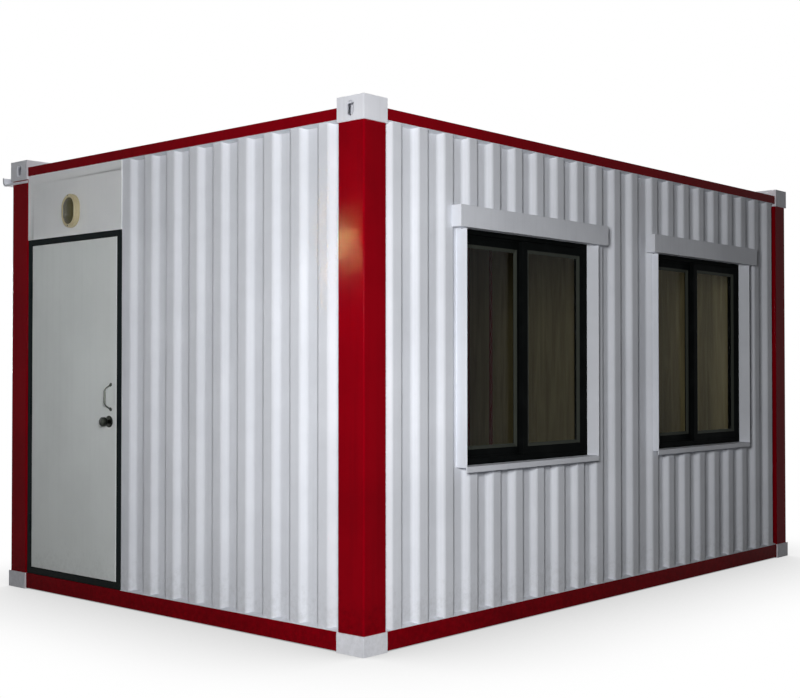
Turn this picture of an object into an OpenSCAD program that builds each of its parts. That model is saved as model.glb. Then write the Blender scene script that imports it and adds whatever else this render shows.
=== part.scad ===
// Shipping container cabin: a red steel frame with cast corner blocks, corrugated steel walls,
// two sliding windows under drip hoods, a hinged end door and a gutter along the rear eaves.
// Millimetres. X runs along the length, the window wall faces -Y and the door end faces -X.
// The origin is on the ground under the middle of the floor plan.

/* [Cabin] */
// Length over the corner castings
cabin_l = 4400; // [4000:50:6000]
// Width over the corner castings
cabin_w = 3000; // [2700:50:3600]
// Height over the top corner castings
cabin_h = 2600; // [2540:10:2900]

/* [Frame] */
// Corner casting size along the cabin
casting_x = 162; // [150:1:180]
// Corner casting size across the cabin
casting_y = 178; // [160:1:190]
// Height of a top casting
top_casting_h = 118; // [105:1:125]
// Height of a bottom casting, and of the bottom frame
bottom_casting_h = 95; // [90:1:118]
// Wall thickness of a casting
casting_wall = 26; // [18:1:30]
// Width of the end slot in a top casting
end_slot_w = 46; // [36:1:52]
// Length of the end slot in a top casting
end_slot_l = 74; // [60:1:78]
// Width of the lifting slot in a casting
lift_slot_w = 64; // [50:1:70]
// Length of the lifting slot in a casting
lift_slot_l = 124; // [100:1:130]
// How far the posts and rails lie behind the casting faces
frame_inset = 8; // [4:1:12]
// Wall thickness of the corner posts
post_wall = 6; // [4:1:8]
// Outer corner radius of the posts
post_r = 9; // [7:1:14]
// Depth of the rails, from face to back
rail_depth = 60; // [50:1:80]
// Plate thickness of the rails
rail_wall = 5; // [3:1:8]
// Gap between the bottom rails and the ground
rail_lift = 5; // [3:1:10]
// Height of the top rails
top_rail_h = 55; // [45:1:62]
// How far the top castings stand above the top rails
casting_stand = 45; // [40:1:55]

/* [Walls] */
// How far the rib crests lie behind the casting faces
crest_inset = 12; // [10:1:16]
// Depth of the wall ribs
rib_depth = 30; // [20:1:36]
// Distance from rib to rib
rib_pitch = 194; // [170:1:220]
// Width of a rib's crest
rib_crest = 70; // [50:1:80]
// Run of a rib's sloping flank
rib_flank = 26; // [16:1:30]
// Thickness of the wall sheet
sheet_t = 2; // [1.5:0.5:3]
// Flat of the sheet beside a corner post
post_flat = 19; // [10:1:40]
// Flat of the door end's sheet beside its corner post
door_end_flat = 48; // [20:1:60]
// Distance of the long walls' sheet joint from the second window
seam_margin = 85; // [40:1:120]
// Distance from the casting faces to the inside of the lining
wall_depth = 100; // [90:1:120]
// Thickness of a lining board
lining_t = 12; // [9:1:18]
// Joint between lining boards
board_joint = 3; // [2:0.5:5]

/* [Floor and roof] */
// Thickness of the floor deck
deck_t = 18; // [12:1:27]
// How far the deck's edge lies behind the casting faces
deck_inset = 48; // [46:1:60]
// Spacing of the floor joists
joist_pitch = 440; // [350:10:600]
// Width of a floor joist
joist_w = 45; // [40:1:60]
// Gap between the joists and the ground
joist_lift = 10; // [6:1:20]
// Distance from the top rails down to the ceiling
ceiling_drop = 70; // [50:1:100]
// Thickness of the ceiling board
ceiling_t = 9; // [6:1:12]
// Depth of the roof ribs
roof_rib_depth = 20; // [12:1:28]
// How far the roof's crests lie below the top of the top rails
roof_drop = 8; // [4:1:14]

/* [Windows] */
// Width of a window opening
window_w = 1200; // [1000:10:1300]
// Height of a window opening
window_h = 1222; // [1000:2:1300]
// Distance from the top rails down to the window openings
window_drop = 448; // [400:2:500]
// Middle of the first window, from the door end
window_1_at = 1320; // [1200:10:1400]
// Middle of the second window, from the door end
window_2_at = 3175; // [3150:5:3200]
// Plate thickness of the window surround
surround_t = 5; // [3:1:8]
// How far the surround stands out in front of the casting faces
surround_out = 27; // [15:1:35]
// Height of the lip that hangs from the front of the sill
sill_lip_h = 24; // [15:1:30]
// How far the window frame's front lies behind the casting faces
window_inset = 50; // [45:1:54]
// Depth of the window frame
window_frame_d = 70; // [66:1:80]
// Face width of the window frame
window_frame_w = 30; // [24:1:40]
// Width of a sash's stiles and rails
sash_w = 45; // [35:1:55]
// Depth of a sash
sash_d = 28; // [24:1:30]
// Gap round a sash in its track
sash_play = 1; // [0.5:0.5:2]
// Height of the rib between the two sash tracks
track_rib_h = 10; // [6:1:14]
// Thickness of the window glass
glass_t = 6; // [4:1:8]
// Height of a window hood
hood_h = 110; // [80:1:120]
// How far a hood stands out in front of the casting faces
hood_out = 48; // [40:1:70]
// How far a hood runs past each side of its window
hood_over = 70; // [40:1:90]
// How far a hood hangs below the top of its window opening
hood_lap = 17; // [10:1:25]
// Gap between a hood and the surround under it
hood_gap = 3; // [2:1:6]
// Plate thickness of a hood
hood_t = 3; // [2:0.5:4]

/* [Door] */
// Outside of the door frame, from the window wall's casting faces
door_at = 1879; // [1820:1:1920]
// Height of the transom panel between the door frame and the top rail
transom_h = 391; // [350:1:500]
// How far the transom panel's face lies behind the rib crests
transom_dish = 14; // [8:1:20]
// Width of the transom panel's sloping rim beside the corner post
transom_side_rim = 30; // [20:1:50]
// Height of the transom panel's sloping rim under the top rail
transom_top_rim = 50; // [30:1:60]
// Face width of the door frame's jambs
door_frame_w = 42; // [36:1:50]
// Face width of the door frame's head
door_head_w = 32; // [25:1:60]
// Height of the threshold
threshold_h = 36; // [24:1:40]
// Depth of the door frame
door_frame_d = 92; // [90:1:110]
// How far the door's face lies behind the casting faces
door_inset = 14; // [12:1:20]
// Thickness of the door leaf
leaf_t = 40; // [35:1:45]
// Gap round the door leaf
leaf_gap = 5; // [4:0.5:6]
// How far the stop reaches over the back of the leaf
stop_w = 14; // [10:1:18]
// Number of hinges
hinge_count = 3; // [2:1:4]
// Radius of the hinge knuckles
knuckle_r = 7; // [6:0.5:9]
// Radius of the hinge pins
hinge_pin_r = 4; // [3:0.5:5]
// Running clearance round pins and spindles
run_clear = 0.3; // [0.2:0.05:0.4]
// Height of a hinge
hinge_h = 102; // [75:3:120]
// Gap between the knuckles of a hinge
knuckle_gap = 1; // [0.5:0.5:2]
// Width of a hinge plate in the gap
hinge_plate_w = 30; // [20:1:34]
// Distance of the top and bottom hinges from the leaf's ends
hinge_end = 220; // [150:10:300]
// Height of the lock's middle above the ground
lock_z = 1031; // [950:1:1100]
// Distance of the lock's middle from the leaf's edge
lock_backset = 62; // [55:1:75]
// Radius of the lock roses
rose_r = 33; // [28:1:36]
// Thickness of a lock rose
rose_t = 8; // [5:1:10]
// Radius of the door knobs
knob_r = 26; // [20:1:30]
// How far a knob stands out from the leaf
knob_out = 56; // [50:1:70]
// Radius of the lock's spindle
spindle_r = 7; // [5:0.5:9]
// Distance of the pull handle's lower foot above the lock's middle
pull_rise = 68; // [50:1:90]
// Distance between the pull handle's feet
pull_span = 141; // [120:1:180]
// How far the pull handle's bar stands off the leaf, to its middle
pull_out = 42; // [36:1:55]
// Distance of the pull handle from the leaf's edge
pull_backset = 48; // [40:1:70]
// Radius of the pull handle's bar
pull_r = 5; // [4:0.5:7]

/* [Lamp] */
// Middle of the lamp, from the window wall's casting faces
lamp_at = 2375; // [2200:5:2500]
// Distance from the top rail down to the lamp's middle
lamp_drop = 247; // [170:1:270]
// Width of the lamp
lamp_w = 150; // [120:1:170]
// Height of the lamp
lamp_h = 197; // [180:1:220]
// Depth of the lamp's body
lamp_d = 26; // [20:1:35]
// Width of the lamp's rim
lamp_rim = 20; // [14:1:26]
// Height of the rim in front of the body
lamp_rim_h = 8; // [5:1:10]
// How far the lamp's glass bulges
lamp_bulge = 16; // [10:1:24]

/* [Gutter] */
// How far the gutter stands out behind the casting faces
gutter_out = 100; // [70:1:120]
// Height of the gutter's outer side
gutter_h = 54; // [48:1:60]
// Height of the gutter's straps below the castings
strap_h = 21; // [15:1:26]
// Width of a strap's curl round the end of the gutter
strap_curl = 12; // [8:1:16]
// Plate thickness of the gutter and its straps
gutter_t = 3; // [2:0.5:4]
// Radius of the gutter's outer bend
gutter_r = 32; // [20:1:36]

/* [Hidden] */
$fn = 64;
// Reach of a cutting tool past the faces that it cuts
cut_over = 1;
steel_red = "#a5322b";
steel_white = "#d9d9d6";
casting_grey = "#cfd1cf";
frame_black = "#23262a";
board_brown = "#8a7a5c";
glass_olive = "#4d4b3c";
lamp_cream = "#d8cfae";

x_end = cabin_l / 2;
y_end = cabin_w / 2;
// Posts end level with the inner faces of the castings
post_x = casting_x - frame_inset;
post_y = casting_y - frame_inset;
wall_z = bottom_casting_h;
wall_top = cabin_h - casting_stand - top_rail_h;
wall_h = wall_top - wall_z;
rail_top = cabin_h - casting_stand;
rib_w = rib_crest + 2 * rib_flank;
floor_z = wall_z + deck_t;
long_wall = cabin_l - 2 * casting_x;
end_wall = cabin_w - 2 * casting_y;
long_seam = window_2_at - window_w / 2 - seam_margin;
ceiling_z = wall_top - ceiling_drop;

window_head_z = wall_top - window_drop;
window_sill_z = window_head_z - window_h;
window_z = (window_sill_z + window_head_z) / 2;
hood_z = window_head_z - hood_lap;
window_x = [window_1_at - x_end, window_2_at - x_end];
// Clear opening inside the surround and inside the window frame
window_clear = [window_w, window_h] - 2 * surround_t * [1, 1];
frame_clear = window_clear - 2 * window_frame_w * [1, 1];
sash_width = (frame_clear[0] + sash_w) / 2;
sash_height = frame_clear[1] - 2 * sash_play;
// The two sashes share the frame's depth, with a rib of the frame between their tracks
track_rib = window_frame_d - 2 * sash_d - 4 * sash_play;

door_y0 = door_at - y_end;
door_y1 = y_end - casting_y;
door_top_z = wall_top - transom_h;
leaf_y0 = door_y0 + door_frame_w + leaf_gap;
leaf_y1 = door_y1 - door_frame_w - leaf_gap;
leaf_z0 = wall_z + threshold_h + leaf_gap;
leaf_z1 = door_top_z - door_head_w - leaf_gap;
leaf_x = door_inset - x_end;
transom_x = crest_inset + transom_dish - x_end;
lamp_z = wall_top - lamp_drop;
// Hinge line: in the middle of the gap, just in front of the leaf's face
hinge_x = leaf_x - knuckle_r - run_clear;
hinge_y = leaf_y1 + leaf_gap / 2;
hinge_plate_t = leaf_gap / 2 - run_clear;
knuckle_h = (hinge_h - 2 * knuckle_gap) / 3;
lock_y = leaf_y0 + lock_backset;
pull_y = leaf_y0 + pull_backset;

gutter_z = cabin_h - top_casting_h - strap_h;
gutter_back = y_end - frame_inset;
gutter_w = gutter_out + frame_inset;

// Prism with round ends, long along Y, standing on z = 0
module slot_prism(w, l, h) {
    for (s = [-1, 1]) {
        translate([0, s * (l - w) / 2, 0])
            cylinder(d = w, h = h);
    }
    translate([-w / 2, -(l - w) / 2, 0])
        cube([w, l - w, h]);
}

// Box from one corner to the opposite one
module box(lo, hi) {
    translate(lo)
        cube(hi - lo);
}

// Rectangular tube standing on z = 0, with round outer corners
module post_tube(x, y, h) {
    linear_extrude(h)
        difference() {
            union() {
                for (i = [post_r, x - post_r], j = [post_r, y - post_r]) {
                    translate([i, j])
                        circle(post_r);
                }
                translate([post_r, 0])
                    square([x - 2 * post_r, y]);
                translate([0, post_r])
                    square([x, y - 2 * post_r]);
            }
            translate([post_wall, post_wall])
                square([x - 2 * post_wall, y - 2 * post_wall]);
        }
}

// Hollow casting in the corner between +x and +y, with its lifting slot towards z = 0
module casting(h) {
    difference() {
        translate([-casting_x, -casting_y, 0])
            cube([casting_x, casting_y, h]);
        translate([casting_wall - casting_x, casting_wall - casting_y, casting_wall])
            cube([casting_x - 2 * casting_wall, casting_y - 2 * casting_wall, h - 2 * casting_wall]);
        translate([-casting_x / 2, -casting_y / 2, -cut_over])
            slot_prism(lift_slot_w, lift_slot_l, casting_wall + 2 * cut_over);
    }
}

// A piece made for the corner between +x and +y, set at all four corners
module at_corners(z) {
    for (i = [0, 1], j = [0, 1]) {
        mirror([i, 0, 0])
            mirror([0, j, 0])
                translate([x_end, y_end, z])
                    children();
    }
}

// Outline of a ribbed sheet from 0 to its length: crests on y = 0, troughs behind them
function rib_starts(length, flat) = [for (s = [flat : rib_pitch : length - rib_w]) s];
function rib_line(length, flat, depth) = concat(
    [[0, depth]],
    [for (s = rib_starts(length, flat), p = [
        [s, depth],
        [s + rib_flank, 0],
        [s + rib_flank + rib_crest, 0],
        [s + rib_w, depth]
    ]) p],
    [[length, depth]]
);
function reversed(list) = [for (i = [len(list) - 1 : -1 : 0]) list[i]];

// Ribbed sheet standing on z = 0
module rib_sheet(length, h, flat, depth) {
    front = rib_line(length, flat, depth);
    back = [for (p = reversed(front)) p + [0, sheet_t]];
    linear_extrude(h)
        polygon(concat(front, back));
}

// Ribbed wall in two sheets that start at the posts and meet at the seam
module ribbed_wall(length, seam) {
    rib_sheet(seam, wall_h, post_flat, rib_depth);
    translate([length, 0, 0])
        mirror([1, 0, 0])
            rib_sheet(length - seam, wall_h, post_flat, rib_depth);
}

// Block that cuts a window opening through everything in front of and behind it
module window_cut(n) {
    box([window_x[n] - window_w / 2, -y_end - surround_out, window_sill_z],
        [window_x[n] + window_w / 2, -y_end + 2 * wall_depth, window_head_z]);
}

module bottom_castings() {
    color(casting_grey)
        at_corners(0)
            casting(bottom_casting_h);
}

module top_castings() {
    color(casting_grey)
        at_corners(cabin_h)
            difference() {
                mirror([0, 0, 1])
                    casting(top_casting_h);
                translate([cut_over, -casting_y / 2, -top_casting_h / 2])
                    rotate([90, 0, -90])
                        slot_prism(end_slot_w, end_slot_l, casting_wall + 2 * cut_over);
            }
}

module corner_posts() {
    color(steel_red)
        at_corners(bottom_casting_h)
            translate([-casting_x, -casting_y, 0])
                post_tube(post_x, post_y, cabin_h - top_casting_h - bottom_casting_h);
}

// Channel rail along +X from 0, its back on y = 0 and its open side towards +y
module channel_rail(length, depth, h) {
    difference() {
        cube([length, depth, h]);
        translate([-cut_over, rail_wall, rail_wall])
            cube([length + 2 * cut_over, depth, h - 2 * rail_wall]);
    }
}

// Box rail along +X from 0
module box_rail(length, depth, h) {
    difference() {
        cube([length, depth, h]);
        translate([-cut_over, rail_wall, rail_wall])
            cube([length + 2 * cut_over, depth - 2 * rail_wall, h - 2 * rail_wall]);
    }
}

// Two long pieces and two end pieces round the plan, each made along +X from 0
module round_plan(z) {
    for (turn = [0, 180]) {
        rotate(turn)
            translate([-long_wall / 2, frame_inset - y_end, z])
                children(0);
        rotate(turn - 90)
            translate([-end_wall / 2, frame_inset - x_end, z])
                children(1);
    }
}

module bottom_rails() {
    h = bottom_casting_h - rail_lift;
    color(steel_red)
        round_plan(rail_lift) {
            channel_rail(long_wall, rail_depth, h);
            channel_rail(end_wall, rail_depth, h);
        }
}

module top_rails() {
    color(steel_red)
        round_plan(wall_top) {
            box_rail(long_wall, rail_depth, top_rail_h);
            box_rail(end_wall, rail_depth, top_rail_h);
        }
}

module floor_joists() {
    reach = y_end - frame_inset - rail_depth;
    first = x_end - casting_x - joist_w;
    bays = ceil(2 * first / joist_pitch);
    color(steel_red)
        for (i = [0 : bays]) {
            translate([-first + i * 2 * first / bays, -reach, joist_lift])
                rotate(90)
                    translate([0, -joist_w / 2, 0])
                        channel_rail(2 * reach, joist_w, wall_z - joist_lift);
        }
}

module floor_deck() {
    color(board_brown)
        difference() {
            box([deck_inset - x_end, deck_inset - y_end, wall_z],
                [x_end - deck_inset, y_end - deck_inset, floor_z]);
            at_corners(wall_z - cut_over)
                translate([-casting_x, -casting_y, 0])
                    cube([casting_x, casting_y, deck_t + 2 * cut_over]);
            box([-x_end, door_y0, wall_z - cut_over],
                [leaf_x + door_frame_d, door_y1, floor_z + cut_over]);
        }
}

module front_wall_left() {
    color(steel_white)
        difference() {
            translate([casting_x - x_end, crest_inset - y_end, wall_z])
                rib_sheet(long_seam - casting_x, wall_h, post_flat, rib_depth);
            window_cut(0);
        }
}

module front_wall_right() {
    color(steel_white)
        difference() {
            translate([x_end - casting_x, crest_inset - y_end, wall_z])
                mirror([1, 0, 0])
                    rib_sheet(cabin_l - casting_x - long_seam, wall_h, post_flat, rib_depth);
            window_cut(1);
        }
}

module rear_wall() {
    color(steel_white)
        rotate(180)
            translate([-long_wall / 2, crest_inset - y_end, wall_z])
                ribbed_wall(long_wall, cabin_l - casting_x - long_seam);
}

module right_end_wall() {
    color(steel_white)
        rotate(90)
            translate([-end_wall / 2, crest_inset - x_end, wall_z])
                ribbed_wall(end_wall, end_wall / 2);
}

module door_end_wall() {
    span = door_at - casting_y;
    color(steel_white)
        intersection() {
            translate([crest_inset - x_end, casting_y - y_end, wall_z])
                rotate(90)
                    mirror([0, 1, 0])
                        rib_sheet(span + rib_pitch, wall_h, door_end_flat, rib_depth);
            box([-x_end, casting_y - y_end, wall_z], [0, door_y0, wall_top]);
        }
}

// Dish in the transom's front: it slopes up to the post and to the top rail, and is upright elsewhere
module transom_dish_cut() {
    front = crest_inset - x_end;
    low = door_top_z + sheet_t;
    near = door_y0 + sheet_t;
    intersection() {
        translate([0, 0, low])
            linear_extrude(wall_top - low)
                polygon([
                    [front, near], [transom_x, near],
                    [transom_x, door_y1 - transom_side_rim], [front, door_y1]
                ]);
        translate([0, door_y1, 0])
            rotate([90, 0, 0])
                linear_extrude(door_y1 - near)
                    polygon([
                        [front, low], [transom_x, low],
                        [transom_x, wall_top - transom_top_rim], [front, wall_top]
                    ]);
    }
}

// Pressed tray over the door, its rim turned back into the wall
module transom_panel() {
    lo = [crest_inset - x_end, door_y0, door_top_z];
    hi = [crest_inset + rib_depth - x_end, door_y1, wall_top];
    color(steel_white)
        difference() {
            box(lo, hi);
            transom_dish_cut();
            box([transom_x, lo[1], lo[2]] + sheet_t * [1, 1, 1], hi - [-cut_over, sheet_t, sheet_t]);
        }
}

module roof_sheet() {
    x = x_end - frame_inset - rail_depth;
    y = y_end - frame_inset - rail_depth;
    color(steel_white)
        difference() {
            translate([-x, y, rail_top - roof_drop])
                rotate([90, 0, 0])
                    mirror([0, 1, 0])
                        rib_sheet(2 * x, 2 * y, post_flat, roof_rib_depth);
            at_corners(wall_top)
                translate([-casting_x, -casting_y, 0])
                    cube([casting_x, casting_y, top_rail_h]);
        }
}

module ceiling_board() {
    inset = wall_depth - lining_t;
    color(board_brown)
        difference() {
            box([inset - x_end, inset - y_end, ceiling_z],
                [x_end - inset, y_end - inset, ceiling_z + ceiling_t]);
            at_corners(ceiling_z - cut_over)
                translate([-casting_x, -casting_y, 0])
                    cube([casting_x, casting_y, ceiling_t + 2 * cut_over]);
        }
}

// Lining boards along +X from 0, made face outwards on y = 0 and split at the joints
module boards(length, joints) {
    edges = concat([-board_joint / 2], joints, [length + board_joint / 2]);
    for (i = [0 : len(edges) - 2]) {
        translate([edges[i] + board_joint / 2, 0, 0])
            cube([edges[i + 1] - edges[i] - board_joint, lining_t, ceiling_z - floor_z]);
    }
}

// Lining boards beside, under and over each window
module front_lining() {
    y = wall_depth - lining_t - y_end;
    left = casting_x - x_end;
    right = x_end - casting_x;
    sides = [for (x = window_x, s = [-1, 1]) x + s * window_w / 2];
    gap = board_joint;
    color(board_brown) {
        for (span = [[left, sides[0]], [sides[1], sides[2]], [sides[3], right]]) {
            box([span[0], y, floor_z], [span[1], y + lining_t, ceiling_z]);
        }
        for (x = window_x) {
            lo = x - window_w / 2 + gap;
            hi = x + window_w / 2 - gap;
            box([lo, y, floor_z], [hi, y + lining_t, window_sill_z]);
            box([lo, y, window_head_z], [hi, y + lining_t, ceiling_z]);
        }
    }
}

module rear_lining() {
    color(board_brown)
        translate([-long_wall / 2, y_end - wall_depth, floor_z])
            boards(long_wall, [long_wall / 3, 2 * long_wall / 3]);
}

module right_end_lining() {
    color(board_brown)
        rotate(90)
            translate([-end_wall / 2, wall_depth - lining_t - x_end, floor_z])
                boards(end_wall, [end_wall / 2]);
}

// Lining of the door end: boards beside the door, and one over it
module door_end_lining() {
    span = door_at - casting_y;
    color(board_brown) {
        translate([wall_depth - x_end, casting_y - y_end, floor_z])
            rotate(90)
                boards(span, [span / 2]);
        box([wall_depth - lining_t - x_end, door_y0 + board_joint, door_top_z],
            [wall_depth - x_end, door_y1, ceiling_z]);
    }
}

// Plate liner round a window opening, set back under the hood, with a lip along the front of its sill
module window_surround(n) {
    side = window_w / 2;
    clear = window_clear[0] / 2;
    front = -y_end - surround_out;
    back = -y_end + window_inset + window_frame_d;
    color(steel_white)
        translate([window_x[n], 0, 0]) {
            difference() {
                box([-side, front, window_sill_z], [side, back, window_head_z]);
                box([-clear, front - cut_over, window_sill_z + surround_t],
                    [clear, back + cut_over, window_head_z - surround_t]);
                box([-side - cut_over, front - cut_over, hood_z - hood_gap],
                    [side + cut_over, -y_end + crest_inset, window_head_z + cut_over]);
            }
            box([-side, front, window_sill_z - sill_lip_h], [side, front + surround_t, window_sill_z]);
        }
}

// Folded drip hood, open towards the wall
module window_hood(n) {
    reach = window_w / 2 + hood_over;
    lo = [-reach, -y_end - hood_out, 0];
    hi = [reach, -y_end + crest_inset, hood_h];
    color(steel_white)
        translate([window_x[n], 0, hood_z])
            difference() {
                box(lo, hi);
                box(lo + hood_t * [1, 1, 1], hi - [hood_t, -cut_over, hood_t]);
            }
}

// Outer window frame with a rib between the two sash tracks
module window_frame(n) {
    side = window_clear / 2;
    clear = frame_clear / 2;
    front = -y_end + window_inset;
    back = front + window_frame_d;
    rib_y = front + (window_frame_d - track_rib) / 2;
    color(frame_black)
        translate([window_x[n], 0, window_z]) {
            difference() {
                box([-side[0], front, -side[1]], [side[0], back, side[1]]);
                box([-clear[0], front - cut_over, -clear[1]], [clear[0], back + cut_over, clear[1]]);
            }
            for (z = [-clear[1], clear[1] - track_rib_h]) {
                box([-clear[0], rib_y, z], [clear[0], rib_y + track_rib, z + track_rib_h]);
            }
        }
}

// Position of a sash: the right one runs in the outer track, the left one in the inner track
function sash_x(s) = s * (frame_clear[0] - sash_width) / 2;
function sash_y(s) = -y_end + window_inset + window_frame_d / 2
    - s * (track_rib / 2 + sash_play + sash_d / 2);

module window_sashes(n) {
    color(frame_black)
        for (s = [-1, 1]) {
            translate([window_x[n] + sash_x(s), sash_y(s), window_z - sash_play])
                difference() {
                    cube([sash_width, sash_d, sash_height], center = true);
                    cube([sash_width - 2 * sash_w, 2 * sash_d, sash_height - 2 * sash_w], center = true);
                }
        }
}

module window_glass(n) {
    color(glass_olive)
        for (s = [-1, 1]) {
            translate([window_x[n] + sash_x(s), sash_y(s), window_z - sash_play])
                cube([sash_width - 2 * sash_w, glass_t, sash_height - 2 * sash_w], center = true);
        }
}

// Door frame with a rebate for the leaf and a stop behind it
module door_frame() {
    stop_x = leaf_x + leaf_t + leaf_gap;
    back = leaf_x + door_frame_d;
    rebate_y = [door_y0 + door_frame_w, door_y1 - door_frame_w];
    rebate_z = [wall_z + threshold_h, door_top_z - door_head_w];
    color(frame_black)
        difference() {
            box([leaf_x, door_y0, wall_z], [back, door_y1, door_top_z]);
            box([leaf_x - cut_over, rebate_y[0], rebate_z[0]], [stop_x, rebate_y[1], rebate_z[1]]);
            box([leaf_x, rebate_y[0] + stop_w, rebate_z[0]],
                [back + cut_over, rebate_y[1] - stop_w, rebate_z[1] - stop_w]);
        }
}

module door_leaf() {
    color(steel_white)
        difference() {
            box([leaf_x, leaf_y0, leaf_z0], [leaf_x + leaf_t, leaf_y1, leaf_z1]);
            translate([leaf_x - cut_over, lock_y, lock_z])
                rotate([0, 90, 0])
                    cylinder(r = spindle_r + leaf_gap, h = leaf_t + 2 * cut_over);
        }
}

// Heights of the hinges' lower ends
function hinge_z(i) = leaf_z0 + hinge_end
    + i * (leaf_z1 - leaf_z0 - 2 * hinge_end - hinge_h) / (hinge_count - 1);

// Plate of a hinge half in the door gap: side 1 lies on the jamb, side -1 on the leaf's edge
module hinge_plate(side, z, h, x0) {
    edge = side * leaf_gap / 2;
    inner = side * (leaf_gap / 2 - hinge_plate_t);
    box([x0, min(edge, inner), z], [knuckle_r + run_clear + hinge_plate_w, max(edge, inner), z + h]);
}

// Frame half of each hinge: outer knuckles, the pin through them and the plate on the jamb
module frame_hinges() {
    clear_x = knuckle_r + run_clear;
    inside_x = (knuckle_r + hinge_pin_r) / 2;
    color(frame_black)
        for (i = [0 : hinge_count - 1]) {
            translate([hinge_x, hinge_y, hinge_z(i)]) {
                cylinder(r = hinge_pin_r, h = hinge_h);
                hinge_plate(1, 0, hinge_h, clear_x);
                for (z = [0, hinge_h - knuckle_h]) {
                    translate([0, 0, z])
                        cylinder(r = knuckle_r, h = knuckle_h);
                    hinge_plate(1, z, knuckle_h, inside_x);
                }
            }
        }
}

// Leaf half of each hinge: the middle knuckle on the pin and the plate on the leaf's edge
module leaf_hinges() {
    clear_x = knuckle_r + run_clear;
    inside_x = (knuckle_r + hinge_pin_r) / 2;
    z = knuckle_h + knuckle_gap;
    color(frame_black)
        for (i = [0 : hinge_count - 1]) {
            translate([hinge_x, hinge_y, hinge_z(i)])
                difference() {
                    union() {
                        translate([0, 0, z])
                            cylinder(r = knuckle_r, h = knuckle_h);
                        hinge_plate(-1, z, knuckle_h, inside_x);
                        hinge_plate(-1, 0, hinge_h, clear_x);
                    }
                    translate([0, 0, z - cut_over])
                        cylinder(r = hinge_pin_r + run_clear, h = knuckle_h + 2 * cut_over);
                }
        }
}

// A lock piece made along +Z from the leaf's face, set on both faces
module on_leaf_faces() {
    for (side = [0, 1]) {
        translate([leaf_x + side * leaf_t, lock_y, lock_z])
            rotate([0, side == 0 ? -90 : 90, 0])
                children();
    }
}

// Turned roses that carry the lock's spindle on both faces of the leaf
module lock_roses() {
    bore = spindle_r + run_clear;
    color(frame_black)
        on_leaf_faces()
            rotate_extrude()
                polygon([
                    [bore, 0], [rose_r, 0], [rose_r, rose_t / 2],
                    [rose_r - rose_t / 2, rose_t], [bore, rose_t]
                ]);
}

// Turned knobs on one spindle
module door_knob() {
    neck_r = knob_r / 2;
    neck_z = rose_t + run_clear;
    cheek_z = neck_z + (knob_out - neck_z) / 3;
    shoulder = knob_r / 4;
    color(frame_black) {
        on_leaf_faces()
            rotate_extrude()
                polygon([
                    [0, neck_z], [neck_r, neck_z], [neck_r, cheek_z - shoulder], [knob_r - shoulder, cheek_z],
                    [knob_r, cheek_z + shoulder], [knob_r, knob_out - shoulder],
                    [knob_r - shoulder, knob_out], [0, knob_out]
                ]);
        translate([leaf_x - neck_z, lock_y, lock_z])
            rotate([0, 90, 0])
                cylinder(r = spindle_r, h = leaf_t + 2 * neck_z);
    }
}

// Bent pull handle with a round foot at each end
module pull_handle() {
    bend = 3 * pull_r;
    foot_t = pull_r;
    color(casting_grey)
        translate([leaf_x, pull_y, lock_z + pull_rise]) {
            translate([-pull_out, 0, bend])
                cylinder(r = pull_r, h = pull_span - 2 * bend);
            for (end = [0, 1]) {
                translate([0, 0, end * pull_span])
                    mirror([0, 0, end]) {
                        rotate([0, -90, 0]) {
                            cylinder(r = 2 * pull_r, h = foot_t);
                            cylinder(r = pull_r, h = pull_out - bend);
                        }
                        translate([bend - pull_out, 0, bend])
                            rotate([90, 0, 0])
                                rotate_extrude(angle = 90, start = 180)
                                    translate([bend, 0])
                                        circle(pull_r);
                    }
            }
        }
}

// Prism with round ends, its back on the transom's face, made towards the outside
module lamp_prism(w, h, from, to) {
    translate([transom_x - from, lamp_at - y_end, lamp_z])
        rotate([90, 0, -90])
            slot_prism(w, h, to - from);
}

module lamp_body() {
    glass_w = lamp_w - 2 * lamp_rim;
    glass_h = lamp_h - 2 * lamp_rim;
    front = lamp_d + lamp_rim_h;
    color(lamp_cream)
        difference() {
            union() {
                lamp_prism(lamp_w, lamp_h, 0, lamp_d);
                lamp_prism(lamp_w - lamp_rim, lamp_h - lamp_rim, lamp_d, front);
            }
            lamp_prism(glass_w, glass_h, lamp_d, front + cut_over);
        }
}

// Domed glass: the front of a large capsule, cut to sit in the rim
module lamp_glass() {
    glass_w = lamp_w - 2 * lamp_rim;
    glass_h = lamp_h - 2 * lamp_rim;
    base = lamp_d;
    top = lamp_d + lamp_rim_h + lamp_bulge;
    rise = top - base;
    dome_r = (pow(glass_w / 2, 2) + pow(rise, 2)) / (2 * rise);
    straight = glass_h - glass_w;
    color(glass_olive)
        intersection() {
            lamp_prism(glass_w, glass_h, base, top + cut_over);
            translate([transom_x - top + dome_r, lamp_at - y_end, lamp_z]) {
                translate([0, 0, -straight / 2])
                    cylinder(r = dome_r, h = straight);
                for (s = [-1, 1]) {
                    translate([0, 0, s * straight / 2])
                        sphere(dome_r);
                }
            }
        }
}

// Outline of the gutter's trough from the wall to its outer lip, grown inwards by a wall
module trough_outline(grow) {
    difference() {
        translate([grow, grow])
            square([gutter_w - 2 * grow, gutter_h]);
        translate([gutter_w - gutter_r, grow])
            difference() {
                square([gutter_r, gutter_r - grow]);
                translate([0, gutter_r - grow])
                    circle(gutter_r - grow);
            }
    }
}

// Section of the filled gutter: low under the castings, full height on its outer half
module gutter_section() {
    intersection() {
        trough_outline(0);
        union() {
            square([gutter_w, strap_h]);
            translate([gutter_w / 2, 0])
                square([gutter_w, gutter_h]);
        }
    }
}

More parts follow.
